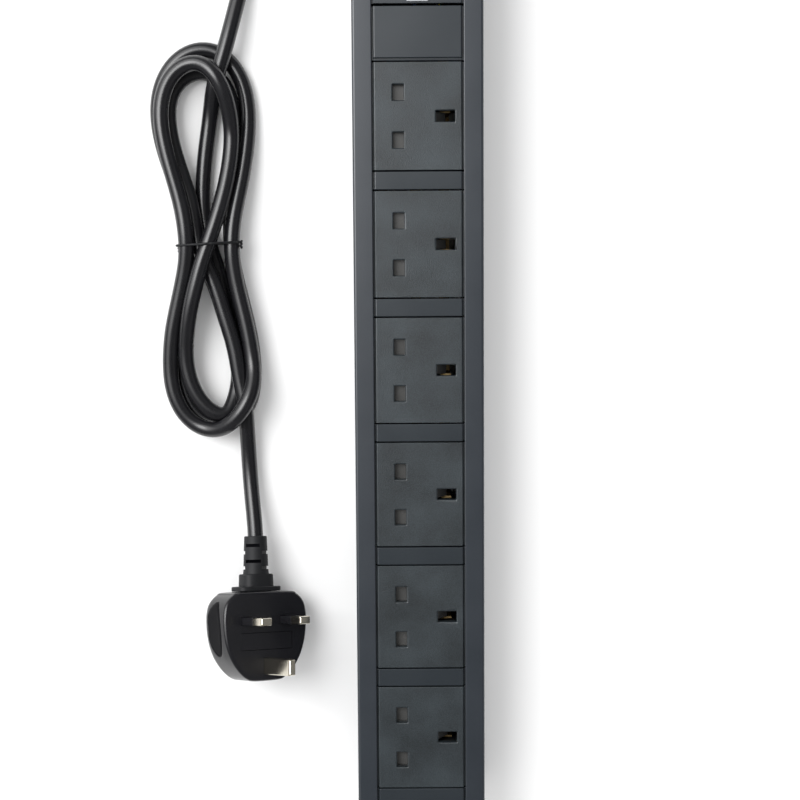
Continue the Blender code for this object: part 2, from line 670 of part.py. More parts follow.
def plug_body():
    back = -PLUG_DEPTH
    levels = [(0.0, 1.0), (-1.0, 0.0), (back + 5.5, 0.0), (back + 2.2, 1.3), (back + 0.6, 3.2), (back, 5.6)]
    rings = [[(x, y, z) for x, y in plug_outline(inset)] for z, inset in levels]
    body = add("plug_body", loft(rings, smooth=True), "plug_plastic", matrix=PLUG_MATRIX)
    cutters = []
    for x in (-PIN_SPREAD / 2, PIN_SPREAD / 2):
        size = (LINE_PIN[0] + 2 * GAP, LINE_PIN[1] + 2 * GAP)
        cutters.append(loft([rectangle(x, PIN_LINE_Y, *size, -8.6), rectangle(x, PIN_LINE_Y, *size, 1)]))
    size = (EARTH_PIN[0] + 2 * GAP, EARTH_PIN[1] + 2 * GAP)
    cutters.append(loft([rectangle(0, EARTH_PIN_Y, *size, -8.6), rectangle(0, EARTH_PIN_Y, *size, 1)]))
    size = (CARRIER[0] + 2 * GAP, CARRIER[1] + 2 * GAP)
    low = -CARRIER[2] - GAP
    cutters.append(loft([rectangle(0, CARRIER_Y, *size, low), rectangle(0, CARRIER_Y, *size, 1)]))
    for i, mesh in enumerate(cutters):
        boolean(body, helper(f"cut_plug_{i}", mesh, matrix=PLUG_MATRIX))


def pin(name, x, y, size):
    width, height, reach = size
    tip = 1.0
    rings = [rectangle(x, y, width, height, -8.3), rectangle(x, y, width, height, reach - tip)]
    rings.append(rectangle(x, y, width - 1.4, height - 1.4, reach))
    add(name, loft(rings), "brass", matrix=PLUG_MATRIX)


def fuse_carrier():
    """A drawer in the pin face: a front plate with a cradle behind it that holds the fuse."""
    width, height, depth = CARRIER
    wall = 1.0
    rings = [rectangle(0, CARRIER_Y, width, height, -depth), rectangle(0, CARRIER_Y, width, height, -0.1)]
    carrier = add("fuse_carrier", loft(rings), "plug_plastic", matrix=PLUG_MATRIX)
    hollow = box(
        (-width / 2 + wall, CARRIER_Y - height / 2 - 1, -depth - 1),
        (width / 2 - wall, CARRIER_Y + height / 2 - wall * 0.6, -1.5),
    )
    boolean(carrier, helper("cut_carrier", hollow, matrix=PLUG_MATRIX))
    diameter, length = FUSE
    cap = 6.0
    profile = [(-length / 2, 0.0), (-length / 2 + cap, 0.0), (-length / 2 + cap, 0.4)]
    profile += [(length / 2 - cap, 0.4), (length / 2 - cap, 0.0), (length / 2, 0.0)]
    rings = []
    for x, inset in profile:
        ring = disc(CARRIER_Y - 0.4, -5.2, diameter / 2 - inset, 0.0, 12)
        rings.append([(x, y, z) for y, z, _ in ring])
    add("fuse_link", loft(rings, smooth=True), "ceramic", matrix=PLUG_MATRIX)


def strain_relief():
    """A ribbed sleeve round the lead, with a collar and a flange against the plug."""
    axis_z = -LEAD_DEPTH
    top = PLUG_HEIGHT / 2 + GAP
    steps = [  # (distance from the plug, half width, half height)
        (0.0, 12.2, 7.0),
        (2.0, 12.2, 7.0),
        (2.0, 8.4, 6.4),
        (8.2, 8.2, 6.3),
        (8.2, 6.6, 6.0),
        (11.0, 5.9, 5.7),
        (11.0, 4.9, 4.9),
        (12.4, 4.9, 4.9),
        (12.4, 6.1, 5.9),
        (18.6, 6.0, 5.8),
        (18.6, 4.9, 4.9),
        (20.0, 4.9, 4.9),
        (20.0, 5.8, 5.7),
        (SLEEVE, 5.7, 5.6),
    ]
    rings = []
    for out, half_x, half_z in steps:
        round_ring = circle(1.0, top + out, 20)
        rings.append([(x * half_x, y, axis_z + z * half_z) for x, y, z in round_ring])
    sleeve = add("strain_relief", loft(rings, smooth=True), "plug_plastic", matrix=PLUG_MATRIX)
    bore = CORD / 2 + GAP
    channel = turned([(top + 6.0, bore), (top + 40, bore)], 16, 0.0, axis_z)
    boolean(sleeve, helper("cut_sleeve", channel, matrix=PLUG_MATRIX))


# ---------------------------------------------------------------- assembly


def build():
    chassis()
    end_bracket("end_bracket_lead", 1)
    end_bracket("end_bracket_far", -1)
    number = 0
    for end in (1, -1):
        for x in (-PORT_X, PORT_X):
            number += 1
            end_screw(f"end_screw_{number}", x, end)
    half_cell, half_line = SOCKET_CELL / 2, JOINT_LINE / 2
    for i, y in enumerate(socket_centres()):
        socket_face(i + 1, y)
        shutter(i + 1, y)
        socket_base(i + 1, y)
        low = y - half_cell
        plain_module(f"spacer_{i + 1}", low - SPACER_CELL + half_line, low - half_line)
    blank_panel()
    bus_end = socket_centres()[0] + 31
    bus_bar("bus_bar_live", -17.5, LINE_X, PIN_SPREAD / 2, "X", bus_end)
    bus_bar("bus_bar_neutral", -1.0, LINE_X, -PIN_SPREAD / 2, "X", bus_end)
    bus_bar("bus_bar_earth", EARTH_X, EARTH_X, 0.0, "Y", bus_end)
    insulator_tray()
    switch_plate()
    switch_body()
    switch_rocker()
    indicator()
    terminals_and_wires()
    gland()
    tube("cord_lead", LEAD_ROUTE, CORD, "cord_pvc", 2.2 * CORD, 3)
    hank()
    hank_tie()
    tube("cord_tail", TAIL_ROUTE, CORD, "cord_pvc", 1.6 * CORD, 3)
    plug_body()
    pin("pin_live", PIN_SPREAD / 2, PIN_LINE_Y, LINE_PIN)
    pin("pin_neutral", -PIN_SPREAD / 2, PIN_LINE_Y, LINE_PIN)
    pin("pin_earth", 0.0, EARTH_PIN_Y, EARTH_PIN)
    fuse_carrier()
    strain_relief()


build()
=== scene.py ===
import math

import bmesh
import bpy
import numpy as np
from mathutils import Matrix, Vector


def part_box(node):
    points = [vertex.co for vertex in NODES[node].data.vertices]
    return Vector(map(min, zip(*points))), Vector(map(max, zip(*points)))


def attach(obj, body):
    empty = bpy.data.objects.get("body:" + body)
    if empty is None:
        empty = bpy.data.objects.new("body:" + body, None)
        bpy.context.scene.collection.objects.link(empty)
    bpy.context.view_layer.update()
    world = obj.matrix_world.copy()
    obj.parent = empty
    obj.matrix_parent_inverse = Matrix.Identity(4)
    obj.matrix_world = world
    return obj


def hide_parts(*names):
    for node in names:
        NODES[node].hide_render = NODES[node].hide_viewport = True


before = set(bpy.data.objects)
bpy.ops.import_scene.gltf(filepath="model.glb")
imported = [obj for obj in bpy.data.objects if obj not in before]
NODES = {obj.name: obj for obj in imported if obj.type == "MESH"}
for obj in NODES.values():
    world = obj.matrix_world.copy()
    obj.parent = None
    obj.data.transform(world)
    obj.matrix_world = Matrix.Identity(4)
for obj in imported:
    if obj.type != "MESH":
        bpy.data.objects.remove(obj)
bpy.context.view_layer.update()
MM = 0.001

# ---------------------------------------------------------------- sizes, in millimetres
CORD = 7.8
TIE_WIRE = 1.2
TIE_Y = 58.9

PLUG_ROLL = math.radians(38)
PLUG_PITCH = math.radians(11.5)
PLUG_YAW = math.radians(1)
PLUG_FACE = Vector((-75.9, -134.5, 31.0))
LEAD_DEPTH = 9.5  # lead's axis behind the pin face
PLUG_TURN = Matrix.Rotation(-PLUG_PITCH, 4, "X") @ Matrix.Rotation(PLUG_ROLL, 4, "Y")
PLUG_MATRIX = Matrix.Translation(PLUG_FACE * MM) @ Matrix.Rotation(PLUG_YAW, 4, "Z") @ PLUG_TURN


def mm(*point):
    return Vector(point) * MM


def node_box(name):
    """A CAD node's lowest and highest corners, in millimetres."""
    low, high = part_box(name)
    return low / MM, high / MM


# ---------------------------------------------------------------- camera


def make_camera():
    data = bpy.data.cameras.new("camera")
    data.lens = 67.5
    data.sensor_width = 36.0
    camera = bpy.data.objects.new("camera", data)
    camera.location = (-0.00888, 0.05072, 0.75929)
    camera.rotation_euler = (math.radians(-5.361), 0.0, math.radians(-0.380))
    bpy.context.scene.collection.objects.link(camera)
    bpy.context.scene.camera = camera


make_camera()

# ---------------------------------------------------------------- materials


def surface(name, colour, roughness, grain, metallic=0.0, tone=0.10, smear=0.05, **fixed):
    """A procedural surface: a fine grain in relief, and a colour and gloss that drift over the piece.

    grain is (size, height) in millimetres; tone and smear are how far colour and roughness drift."""
    made = bpy.data.materials.new(name)
    made.use_nodes = True
    nodes, link = made.node_tree.nodes, made.node_tree.links.new
    shader = nodes["Principled BSDF"]
    shader.inputs["Metallic"].default_value = metallic
    for socket, value in fixed.items():
        shader.inputs[socket.replace("_", " ")].default_value = value
    place = nodes.new("ShaderNodeTexCoord").outputs["Object"]

    def noise(size, detail):
        made_noise = nodes.new("ShaderNodeTexNoise")
        made_noise.inputs["Scale"].default_value = 1 / (size * MM)
        made_noise.inputs["Detail"].default_value = detail
        link(place, made_noise.inputs["Vector"])
        return made_noise.outputs["Fac"]

    drift, speck = noise(22.0, 4.0), noise(grain[0], 2.0)
    spread = nodes.new("ShaderNodeMapRange")
    spread.inputs["From Min"].default_value = 0.3
    spread.inputs["From Max"].default_value = 0.7
    spread.inputs["To Min"].default_value = roughness - smear
    spread.inputs["To Max"].default_value = roughness + smear
    link(drift, spread.inputs["Value"])
    link(spread.outputs["Result"], shader.inputs["Roughness"])
    blend = nodes.new("ShaderNodeMath")
    blend.operation = "MULTIPLY_ADD"
    blend.inputs[1].default_value = 0.5
    link(drift, blend.inputs[0])
    half = nodes.new("ShaderNodeMath")
    half.operation = "MULTIPLY"
    half.inputs[1].default_value = 0.5
    link(speck, half.inputs[0])
    link(half.outputs[0], blend.inputs[2])
    ramp = nodes.new("ShaderNodeValToRGB")
    for element, place_on, scale in zip(ramp.color_ramp.elements, (0.35, 0.65), (1 - tone, 1 + tone)):
        element.position = place_on
        element.color = (*[min(1.0, c * scale) for c in colour], 1.0)
    link(blend.outputs[0], ramp.inputs["Fac"])
    link(ramp.outputs["Color"], shader.inputs["Base Color"])
    bump = nodes.new("ShaderNodeBump")
    bump.inputs["Distance"].default_value = grain[1] * MM
    link(speck, bump.inputs["Height"])
    link(bump.outputs["Normal"], shader.inputs["Normal"])
    return made


def striped(name, first, second, roughness):
    """Core insulation in two colours, in bands along the core."""
    made = surface(name, first, roughness, (0.6, 0.01))
    nodes, link = made.node_tree.nodes, made.node_tree.links.new
    shader = nodes["Principled BSDF"]
    wave = nodes.new("ShaderNodeTexWave")
    wave.bands_direction = "X"
    wave.inputs["Scale"].default_value = 130.0
    link(nodes["Texture Coordinate"].outputs["Object"], wave.inputs["Vector"])
    ramp = nodes.new("ShaderNodeValToRGB")
    ramp.color_ramp.interpolation = "CONSTANT"
    ramp.color_ramp.elements[0].color = (*first, 1.0)
    ramp.color_ramp.elements[1].position = 0.55
    ramp.color_ramp.elements[1].color = (*second, 1.0)
    link(wave.outputs["Fac"], ramp.inputs["Fac"])
    link(ramp.outputs["Color"], shader.inputs["Base Color"])
    return made


COAT = surface(
    "powder_coat", (0.018, 0.023, 0.030), 0.34, (1.1, 0.006), tone=0.05, smear=0.02, Specular_IOR_Level=0.62
)
BRACKET_COAT = surface("bracket_coat", (0.021, 0.025, 0.031), 0.33, (0.9, 0.006), tone=0.05, smear=0.02)
SPARK = surface("spark_plastic", (0.018, 0.024, 0.028), 0.40, (0.5, 0.09), tone=0.5, smear=0.02)
SMOOTH = surface("smooth_plastic", (0.018, 0.023, 0.028), 0.3, (0.8, 0.003), tone=0.05, smear=0.02)
SHUTTER = surface("shutter_plastic", (0.075, 0.075, 0.073), 0.25, (0.5, 0.01))
BLACK = surface("inner_black", (0.02, 0.02, 0.022), 0.5, (0.6, 0.02))
BRASS = surface("brass", (0.34, 0.25, 0.12), 0.42, (0.5, 0.006), metallic=1.0)
STEEL = surface("zinc_steel", (0.60, 0.61, 0.62), 0.3, (0.35, 0.01), metallic=1.0)
PIN = surface("pin_nickel", (0.62, 0.58, 0.49), 0.2, (0.3, 0.002), metallic=1.0, smear=0.03)
SLEEVING = surface("pin_sleeving", (0.010, 0.010, 0.012), 0.3, (0.5, 0.004))
LENS = surface("frosted_lens", (0.72, 0.74, 0.77), 0.25, (0.5, 0.01), tone=0.03, Transmission_Weight=0.25)
PVC = surface("cord_pvc", (0.008, 0.008, 0.0095), 0.27, (6.0, 0.001), tone=0.12, smear=0.015)
PLUG_GLOSS = surface(
    "plug_gloss", (0.009, 0.009, 0.011), 0.24, (1.4, 0.002), smear=0.015, Specular_IOR_Level=0.38
)
GRIP = surface("plug_grip", (0.004, 0.004, 0.005), 0.6, (0.6, 0.02), Specular_IOR_Level=0.08)
RUBBER = surface("plug_rubber", (0.011, 0.0115, 0.013), 0.58, (0.5, 0.012), Specular_IOR_Level=0.25)
# near-black for the sunk faces of the strain relief's front slots: painted shade
SLOT_PAINTED_SHADE = surface("sleeve_slot_painted_shade", (0.003, 0.003, 0.004), 0.9, (0.5, 0.004), Specular_IOR_Level=0.02)
TRAY = surface("insulator", (0.72, 0.72, 0.69), 0.55, (0.6, 0.01), tone=0.03)
BROWN = surface("live_brown", (0.16, 0.07, 0.03), 0.4, (0.6, 0.01))
BLUE = surface("neutral_blue", (0.04, 0.13, 0.42), 0.4, (0.6, 0.01))
GREEN = striped("earth_green_yellow", (0.06, 0.30, 0.07), (0.75, 0.62, 0.05), 0.4)
CERAMIC = surface("ceramic", (0.80, 0.78, 0.73), 0.3, (0.4, 0.006), tone=0.03)
MARK = surface("white_marking", (0.62, 0.62, 0.60), 0.5, (0.3, 0.004), tone=0.03)

# ---------------------------------------------------------------- making pieces


def put(name, mesh, material, replaces=(), body="strip", matrix=None):
    """A new piece that rides on a body, and stands for CAD nodes where it replaces them."""
    obj = bpy.data.objects.new(name, mesh)
    bpy.context.scene.collection.objects.link(obj)
    if matrix is not None:
        obj.matrix_world = matrix
    mesh.materials.append(material)
    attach(obj, body)
    if replaces:
        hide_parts(*replaces)
    return obj


def smooth(obj, angle=35):
    """Smooth shading that keeps flat faces flat beside their rounded edges."""
    obj.data.shade_smooth()
    obj.data.set_sharp_from_angle(angle=math.radians(angle))
    normals = obj.modifiers.new("normals", "WEIGHTED_NORMAL")
    normals.keep_sharp = True


def rounded_edges(obj, width, segments=3, angle=30):
    """Rounds a piece's edges that turn by more than angle, width millimetres to each side."""
    bevel = obj.modifiers.new("edges", "BEVEL")
    bevel.width = width * MM
    bevel.segments = segments
    bevel.limit_method = "ANGLE"
    bevel.angle_limit = math.radians(angle)
    bevel.miter_outer = "MITER_ARC"
    bevel.use_clamp_overlap = True


def refine(name, material, edge=0.25, segments=3):
    """Keeps a CAD node, with its edges rounded and its own material."""
    obj = NODES[name]
    obj.material_slots[0].material = material
    weld = obj.modifiers.new("weld", "WELD")
    weld.merge_threshold = 1e-6
    flat = obj.modifiers.new("flat", "DECIMATE")
    flat.decimate_type = "DISSOLVE"
    flat.angle_limit = math.radians(0.5)
    rounded_edges(obj, edge, segments)
    obj.data.shade_smooth()
    obj.modifiers.new("normals", "WEIGHTED_NORMAL")
    return obj


def loft(rings, caps=True, closed=False):
    """A mesh through rings of equal length, in millimetres. closed joins the last to the first."""
    bm = bmesh.new()
    rows = [[bm.verts.new(mm(*point)) for point in ring] for ring in rings]
    pairs = list(zip(rows, rows[1:]))
    if closed:
        pairs.append((rows[-1], rows[0]))
    for low, high in pairs:
        for i in range(len(low)):
            j = (i + 1) % len(low)
            bm.faces.new((low[i], low[j], high[j], high[i]))
    if caps and not closed:
        bm.faces.new(reversed(rows[0]))
        bm.faces.new(rows[-1])
    bmesh.ops.recalc_face_normals(bm, faces=bm.faces)
    mesh = bpy.data.meshes.new("loft")
    bm.to_mesh(mesh)
    bm.free()
    return mesh


def rounded(corners, steps=5):
    """An outline whose corners, (a, b, radius), are turned into arcs."""
    points = []
    for before, here, after in zip(corners[-1:] + corners[:-1], corners, corners[1:] + corners[:1]):
        corner, radius = Vector(here[:2]), here[2]
        if radius == 0:
            points.append(tuple(corner))
            continue
        back = (Vector(before[:2]) - corner).normalized()
        on = (Vector(after[:2]) - corner).normalized()
        half = back.angle(on) / 2
        centre = corner + (back + on).normalized() * radius / math.sin(half)
        start = corner + back * radius / math.tan(half) - centre
        end = corner + on * radius / math.tan(half) - centre
        turn = end.angle_signed(start)
        for i in range(steps + 1):
            points.append(tuple(centre + Matrix.Rotation(turn * i / steps, 2) @ start))
    return points


def rounded_rectangle(width, height, radius, steps=5):
    """The outline of a rectangle about the origin, with rounded corners."""
    x, y = width / 2, height / 2
    return rounded([(x, y, radius), (-x, y, radius), (-x, -y, radius), (x, -y, radius)], steps)


def turned(profile, sides, centre, axis="Y", shape=None):
    """A solid turned about a line through centre, from (along, radius) pairs.

    shape(angle, along) scales the radius, for flutes and flats."""
    rings = []
    for along, radius in profile:
        ring = []
        for i in range(sides):
            angle = 2 * math.pi * i / sides
            reach = radius * (shape(angle, along) if shape else 1.0)
            a, b = reach * math.cos(angle), reach * math.sin(angle)
            ring.append((a, along, b) if axis == "Y" else (a, b, along))
        rings.append([tuple(Vector(p) + Vector(centre)) for p in ring])
    return loft(rings)


def cut(obj, meshes, operation="DIFFERENCE"):
    """Cuts the closed meshes out of a piece, once and for all."""
    for mesh in meshes:
        tool = bpy.data.objects.new("tool", mesh)
        bpy.context.scene.collection.objects.link(tool)
        tool.matrix_world = obj.matrix_world
        boolean = obj.modifiers.new("cut", "BOOLEAN")
        boolean.operation = operation
        boolean.object = tool
        bpy.context.view_layer.update()
        result = bpy.data.meshes.new_from_object(obj.evaluated_get(bpy.context.evaluated_depsgraph_get()))
        obj.modifiers.remove(boolean)
        old = obj.data
        obj.data = result
        bpy.data.meshes.remove(old)
        bpy.data.objects.remove(tool)


def box_mesh(low, high):
    """A plain box from its lowest corner to its highest, in millimetres, for cutting."""
    corners = [(low[0], low[1]), (high[0], low[1]), (high[0], high[1]), (low[0], high[1])]
    return loft([[(x, y, z) for x, y in corners] for z in (low[2], high[2])])


def catmull(points, steps, closed=False):
    """A smooth curve through the points, with steps points for each span."""
    points = [Vector(p) for p in points]
    if closed:
        padded = [points[-1], *points, points[0], points[1]]
    else:
        padded = [2 * points[0] - points[1], *points, 2 * points[-1] - points[-2]]
    curve = []
    for a, b, c, d in zip(padded, padded[1:], padded[2:], padded[3:]):
        for i in range(steps):
            t = i / steps
            bend = (2 * a - 5 * b + 4 * c - d) * t * t + (3 * b - 3 * c + d - a) * t**3
            curve.append(0.5 * (2 * b + (c - a) * t + bend))
    if not closed:
        curve.append(points[-1])
    return curve


def even(curve, step):
    """The same curve with its points an even step apart."""
    curve = np.array([tuple(p) for p in curve])
    along = np.concatenate([[0], np.cumsum(np.linalg.norm(np.diff(curve, axis=0), axis=1))])
    wanted = np.linspace(0, along[-1], max(2, round(along[-1] / step) + 1))
    return np.stack([np.interp(wanted, along, curve[:, k]) for k in range(3)], axis=1)


def curve_piece(name, points, diameter, material, replaces, closed=False, sides=5, body="strip"):
    """A round tube along points in millimetres, as a curve of one spline."""
    data = bpy.data.curves.new(name, "CURVE")
    data.dimensions = "3D"
    data.bevel_depth = diameter / 2 * MM
    data.bevel_resolution = sides
    data.use_fill_caps = not closed
    spline = data.splines.new("POLY")
    spline.points.add(len(points) - 1)
    for target, point in zip(spline.points, points):
        target.co = (*(Vector(point) * MM), 1.0)
    spline.use_cyclic_u = closed
    spline.use_smooth = True
    return put(name, data, material, replaces, body)


# ---------------------------------------------------------------- lead

LEAD_ROUTE = [  # from the gland, round outside the strip's end, to the top of the hank
    (0.0, 212.6, 22.0),
    (0.0, 230.0, 22.0),
    (0.0, 248.0, 22.0),
    (-1.2, 263.0, 19.4),
    (-6.8, 279.0, 14.4),
    (-18.0, 293.0, 9.0),
    (-34.0, 299.5, 5.4),
    (-51.0, 296.0, 4.1),
    (-64.5, 284.0, 3.9),
    (-72.5, 267.0, 3.9),
    (-76.5, 247.0, 3.9),
    (-79.0, 226.0, 3.9),
    (-82.0, 204.0, 4.0),
    (-85.5, 188.0, 5.4),
    (-88.4, 175.0, 8.6),
    (-91.5, 162.9, 11.2),
    (-94.3, 152.8, 11.7),
    (-95.9, 147.4, 11.7),
]
INCOMING = [  # over the outer arch, then down on the floor between the hank's legs
    (-97.8, 141.8, 11.7),
    (-100.2, 134.4, 9.0),
    (-101.9, 126.0, 5.0),
    (-103.6, 115.4, 3.9),
    (-105.2, 105.5, 3.9),
    (-106.2, 95.7, 3.9),
    (-106.9, 85.8, 3.9),
    (-107.0, 73.4, 3.9),
]
FLOOR_Z, SECOND_Z = CORD / 2, 1.5 * CORD
# The hank's turns in order along the cord, as (kind, x, y, z, hump): "waist" is where a leg goes
# through the tie, or "cross" where it slants over the others there, "side" is its widest place,
# "tip" its end, and "pass" a place it goes straight through. A hump lifts the stretch before the
# station over a strand.
HANK = [
    ("waist", -104.6, TIE_Y, FLOOR_Z, 0),
    ("pass", -99.8, 45.0, FLOOR_Z, 0),
    ("side", -90.2, -13.0, FLOOR_Z, 0),
    ("tip", -95.0, -27.8, 10.8, 0),
    ("side", -116.0, 5.3, 12.5, 0),
    ("cross", -103.2, TIE_Y, 18.4, 2.2),
    ("side", -91.4, 113.6, SECOND_Z, 0),
    ("tip", -108.2, 147.1, 15.5, 5.8),
    ("side", -125.1, 123.1, 16.3, 0),
    ("waist", -113.9, TIE_Y, 17.4, 0),
    ("side", -123.9, -3.7, 10.6, 0),
    ("tip", -104.1, -33.8, 10.8, 0),
    ("side", -82.9, -4.4, SECOND_Z, 8.6),
    ("waist", -92.3, TIE_Y, SECOND_Z, 0),
    ("side", -84.0, 123.1, FLOOR_Z, 0),
    ("tip", -105.2, 154.7, FLOOR_Z, 0),
    ("side", -128.6, 124.4, FLOOR_Z, 0),
    ("waist", -114.4, TIE_Y, FLOOR_Z, 0),
    ("side", -120.2, 3.4, FLOOR_Z, 0),
    ("tip", -102.6, -31.6, FLOOR_Z, 0),
    ("side", -83.2, -3.0, FLOOR_Z, 0),
    ("waist", -93.0, TIE_Y, FLOOR_Z, 0),
    ("side", -91.6, 121.2, FLOOR_Z, 0),
    ("tip", -105.9, 143.9, FLOOR_Z, 0),
    ("side", -122.8, 123.7, 10.0, 0),
    ("waist", -109.6, TIE_Y, 11.2, 0),
]
OUTGOING = [  # under the crossing leg, down the right side and under the outer turn
    (-105.6, 50.0, 11.4),
    (-102.3, 42.0, 11.5),
    (-99.0, 32.5, 11.6),
    (-96.4, 22.5, 11.7),
    (-92.9, 12.2, 11.7),
    (-90.7, 1.9, 11.7),
    (-89.0, -8.4, 11.7),
]
TAIL_ROUTE = [  # from the foot of the hank to the inside of the plug's strain relief
    (-87.6, -16.0, 11.9),
    (-86.9, -25.0, 10.9),
    (-86.3, -34.0, 9.6),
    (-86.0, -43.0, 8.0),
    (-85.6, -53.0, 7.1),
    (-84.9, -63.0, 8.2),
    (-84.0, -72.0, 10.3),
    (-83.1, -80.5, 12.3),
    (-82.57, -87.6, 13.79),
    (-82.42, -96.0, 15.5),
]


def hank_span(start, end, steps=9):
    """Points from one station of the hank to just before the next."""
    kinds = (start[0], end[0])
    a, b = Vector(start[1:4]), Vector(end[1:4])
    points = []
    for i in range(steps):
        t = i / steps
        point = a.lerp(b, t)
        angle = t * math.pi / 2
        if kinds == ("side", "tip"):
            point.x = b.x + (a.x - b.x) * math.cos(angle)
            point.y = a.y + (b.y - a.y) * math.sin(angle)
        elif kinds == ("tip", "side"):
            point.x = a.x + (b.x - a.x) * math.sin(angle)
            point.y = b.y + (a.y - b.y) * math.cos(angle)
        elif kinds[0] in ("cross", "pass"):
            point.x = a.x + (b.x - a.x) * math.sin(angle)
        elif kinds[1] == "cross":
            point.x = a.x + (b.x - a.x) * (1 - math.cos(angle))
        elif kinds[1] != "pass":
            point.x = a.x + (b.x - a.x) * (1 - math.cos(math.pi * t)) / 2
        point.z += end[4] * math.sin(math.pi * t)
        points.append(point)
    return points


def settle(points, step, rounds=240):
    """Lets the strands of the hank come to rest on each other.

    Where two strands come closer than a diameter they push each other away, none goes below
    what it lies on, and a slight stiffness keeps the line fair."""
    firmness, return_rate, stiffness = 0.5, 0.02, 0.06
    tie_reach = 14  # how far either side of the tie its wire holds the strands off the floor
    route = points.copy()
    count = len(points)
    order = np.arange(count)
    other = np.abs(order[:, None] - order[None]) * step > 2.5 * CORD
    held = (order < 4) | (order > count - 5)
    for _ in range(rounds):
        away = points[:, None] - points[None]
        distance = np.linalg.norm(away, axis=2) + 1e-9
        overlap = np.where(other, np.clip(1.005 * CORD - distance, 0, None), 0)
        push = (away * (overlap / distance)[..., None]).sum(axis=1)
        touching = np.maximum((overlap > 0).sum(axis=1), 1)[:, None]
        moved = points + firmness * push / np.sqrt(touching)
        moved += return_rate * (route - moved)
        for _ in range(3):
            bend = moved[:-4] - 4 * moved[1:-3] + 6 * moved[2:-2] - 4 * moved[3:-1] + moved[4:]
            moved[2:-2] -= stiffness * bend
        lift = TIE_WIRE * np.exp(-(((moved[:, 1] - TIE_Y) / tie_reach) ** 2))
        in_hank = (order > 0.18 * count) & (order < 0.93 * count)
        rest = CORD / 2 + np.where(in_hank, lift, 0)
        moved[:, 2] = np.maximum(moved[:, 2], rest)
        points = np.where(held[:, None], points, moved)
    return points


def make_lead():
    step = 3.2
    stations = HANK + [("end", *OUTGOING[0], 0)]
    turns = []
    for start, end in zip(stations, stations[1:]):
        if end[0] == "end":
            turns.append(Vector(start[1:4]))
        else:
            turns += hank_span(start, end)
    ends = [Vector(p) for p in LEAD_ROUTE + INCOMING], [Vector(p) for p in OUTGOING + TAIL_ROUTE]
    points = settle(even(catmull(ends[0] + turns + ends[1], 8), step), step)
    points = even(catmull(points, 2), 2.2)
    lead = curve_piece(
        "mains_lead", points, CORD, PVC, ("cord_lead", "cord_hank", "cord_tail"), sides=8
    )
    return lead, points


def make_tie(points):
    """A plastic-covered wire twisted round the waist of the hank."""
    near = points[(np.abs(points[:, 1] - TIE_Y) < 1.2) & (points[:, 0] < -80)]
    reach = (CORD + TIE_WIRE) / 2
    middle, slope = near[:, 0].mean(), 0.055
    loop = []
    for i in range(72):
        angle = 2 * math.pi * i / 72
        out = np.array([math.cos(angle), math.sin(angle)])
        strand = near[np.argmax(near[:, [0, 2]] @ out)]
        x, z = strand[[0, 2]] + reach * out
        loop.append((x, TIE_Y + slope * (x - middle), max(z, TIE_WIRE / 2)))
    ring = even(catmull(loop + loop[:1], 2), 1.0)[:-1]
    tie = curve_piece("lead_tie", ring, TIE_WIRE, RUBBER, ("hank_tie",), closed=True, sides=3)
    for name, end, side in (("tie_twist_left", min(loop), -1), ("tie_twist_right", max(loop), 1)):
        twist = []
        for i in range(21):
            angle, out = 2 * math.pi * i / 9, 3.4 * i / 20
            x = end[0] + side * (0.25 + 0.3 * math.cos(angle) - 0.05 * out)
            z = end[2] + 0.4 * math.sin(angle) + 1.2
            twist.append((x, end[1] + 0.4 - out, z))
        piece = curve_piece(name, twist, TIE_WIRE, RUBBER, (), sides=3)
        piece.parent = tie
        piece.matrix_parent_inverse = Matrix.Identity(4)
    return tie


LEAD, LEAD_POINTS = make_lead()
TIE = make_tie(LEAD_POINTS)

# ---------------------------------------------------------------- strip


def make_chassis():
    """The extrusion, with rounded outer corners and softened lips."""
    low, high = node_box("chassis_channel")
    half, top = high.x, high.z
    lip, wall, port = 21.65, 1.6, 23.0
    corners = [
        (lip, top, 0.45),
        (half, top, 1.3),
        (half, 0.0, 0.9),
        (-half, 0.0, 0.9),
        (-half, top, 1.3),
        (-lip, top, 0.45),
        (-lip, top - wall, 0.25),
        (-half + wall, top - wall, 0.3),
        (-half + wall, 8.0, 0.3),
        (-port, 8.0, 0.3),
        (-port, wall, 0.3),
        (port, wall, 0.3),
        (port, 8.0, 0.3),
        (half - wall, 8.0, 0.3),
        (half - wall, top - wall, 0.3),
        (lip, top - wall, 0.25),
    ]
    outline = rounded(corners, 4)
    rings = [[(x, y, z) for x, z in outline] for y in (low.y, high.y)]
    smooth(put("chassis_extrusion", loft(rings), COAT, ("chassis_channel",)))


def make_screws():
    """Pan-head screws with a cross recess."""
    for i in range(1, 5):
        name = f"end_screw_{i}"
        low, high = node_box(name)
        x, z = (low.x + high.x) / 2, (low.z + high.z) / 2
        end = 1 if low.y > 0 else -1
        seat = (high.y if end > 0 else -low.y) - 2.3
        head = [(seat - 11.0, 1.2), (seat - 10.0, 1.6), (seat, 1.6), (seat, 3.7), (seat + 0.3, 3.9)]
        head += [(seat + 0.9, 3.75), (seat + 1.5, 3.3), (seat + 2.0, 2.5), (seat + 2.3, 1.2)]
        profile = [(end * y, r) for y, r in head]
        piece = put(f"screw_{i}", turned(profile, 32, (x, 0, z)), STEEL, (name,))
        blades = []
        for wide, tall in ((2.1, 0.45), (0.45, 2.1)):
            y0, y1 = sorted((end * (seat + 0.6), end * (seat + 3)))
            blades.append(box_mesh((x - wide, y0, z - tall), (x + wide, y1, z + tall)))
        cut(piece, blades)
        smooth(piece)


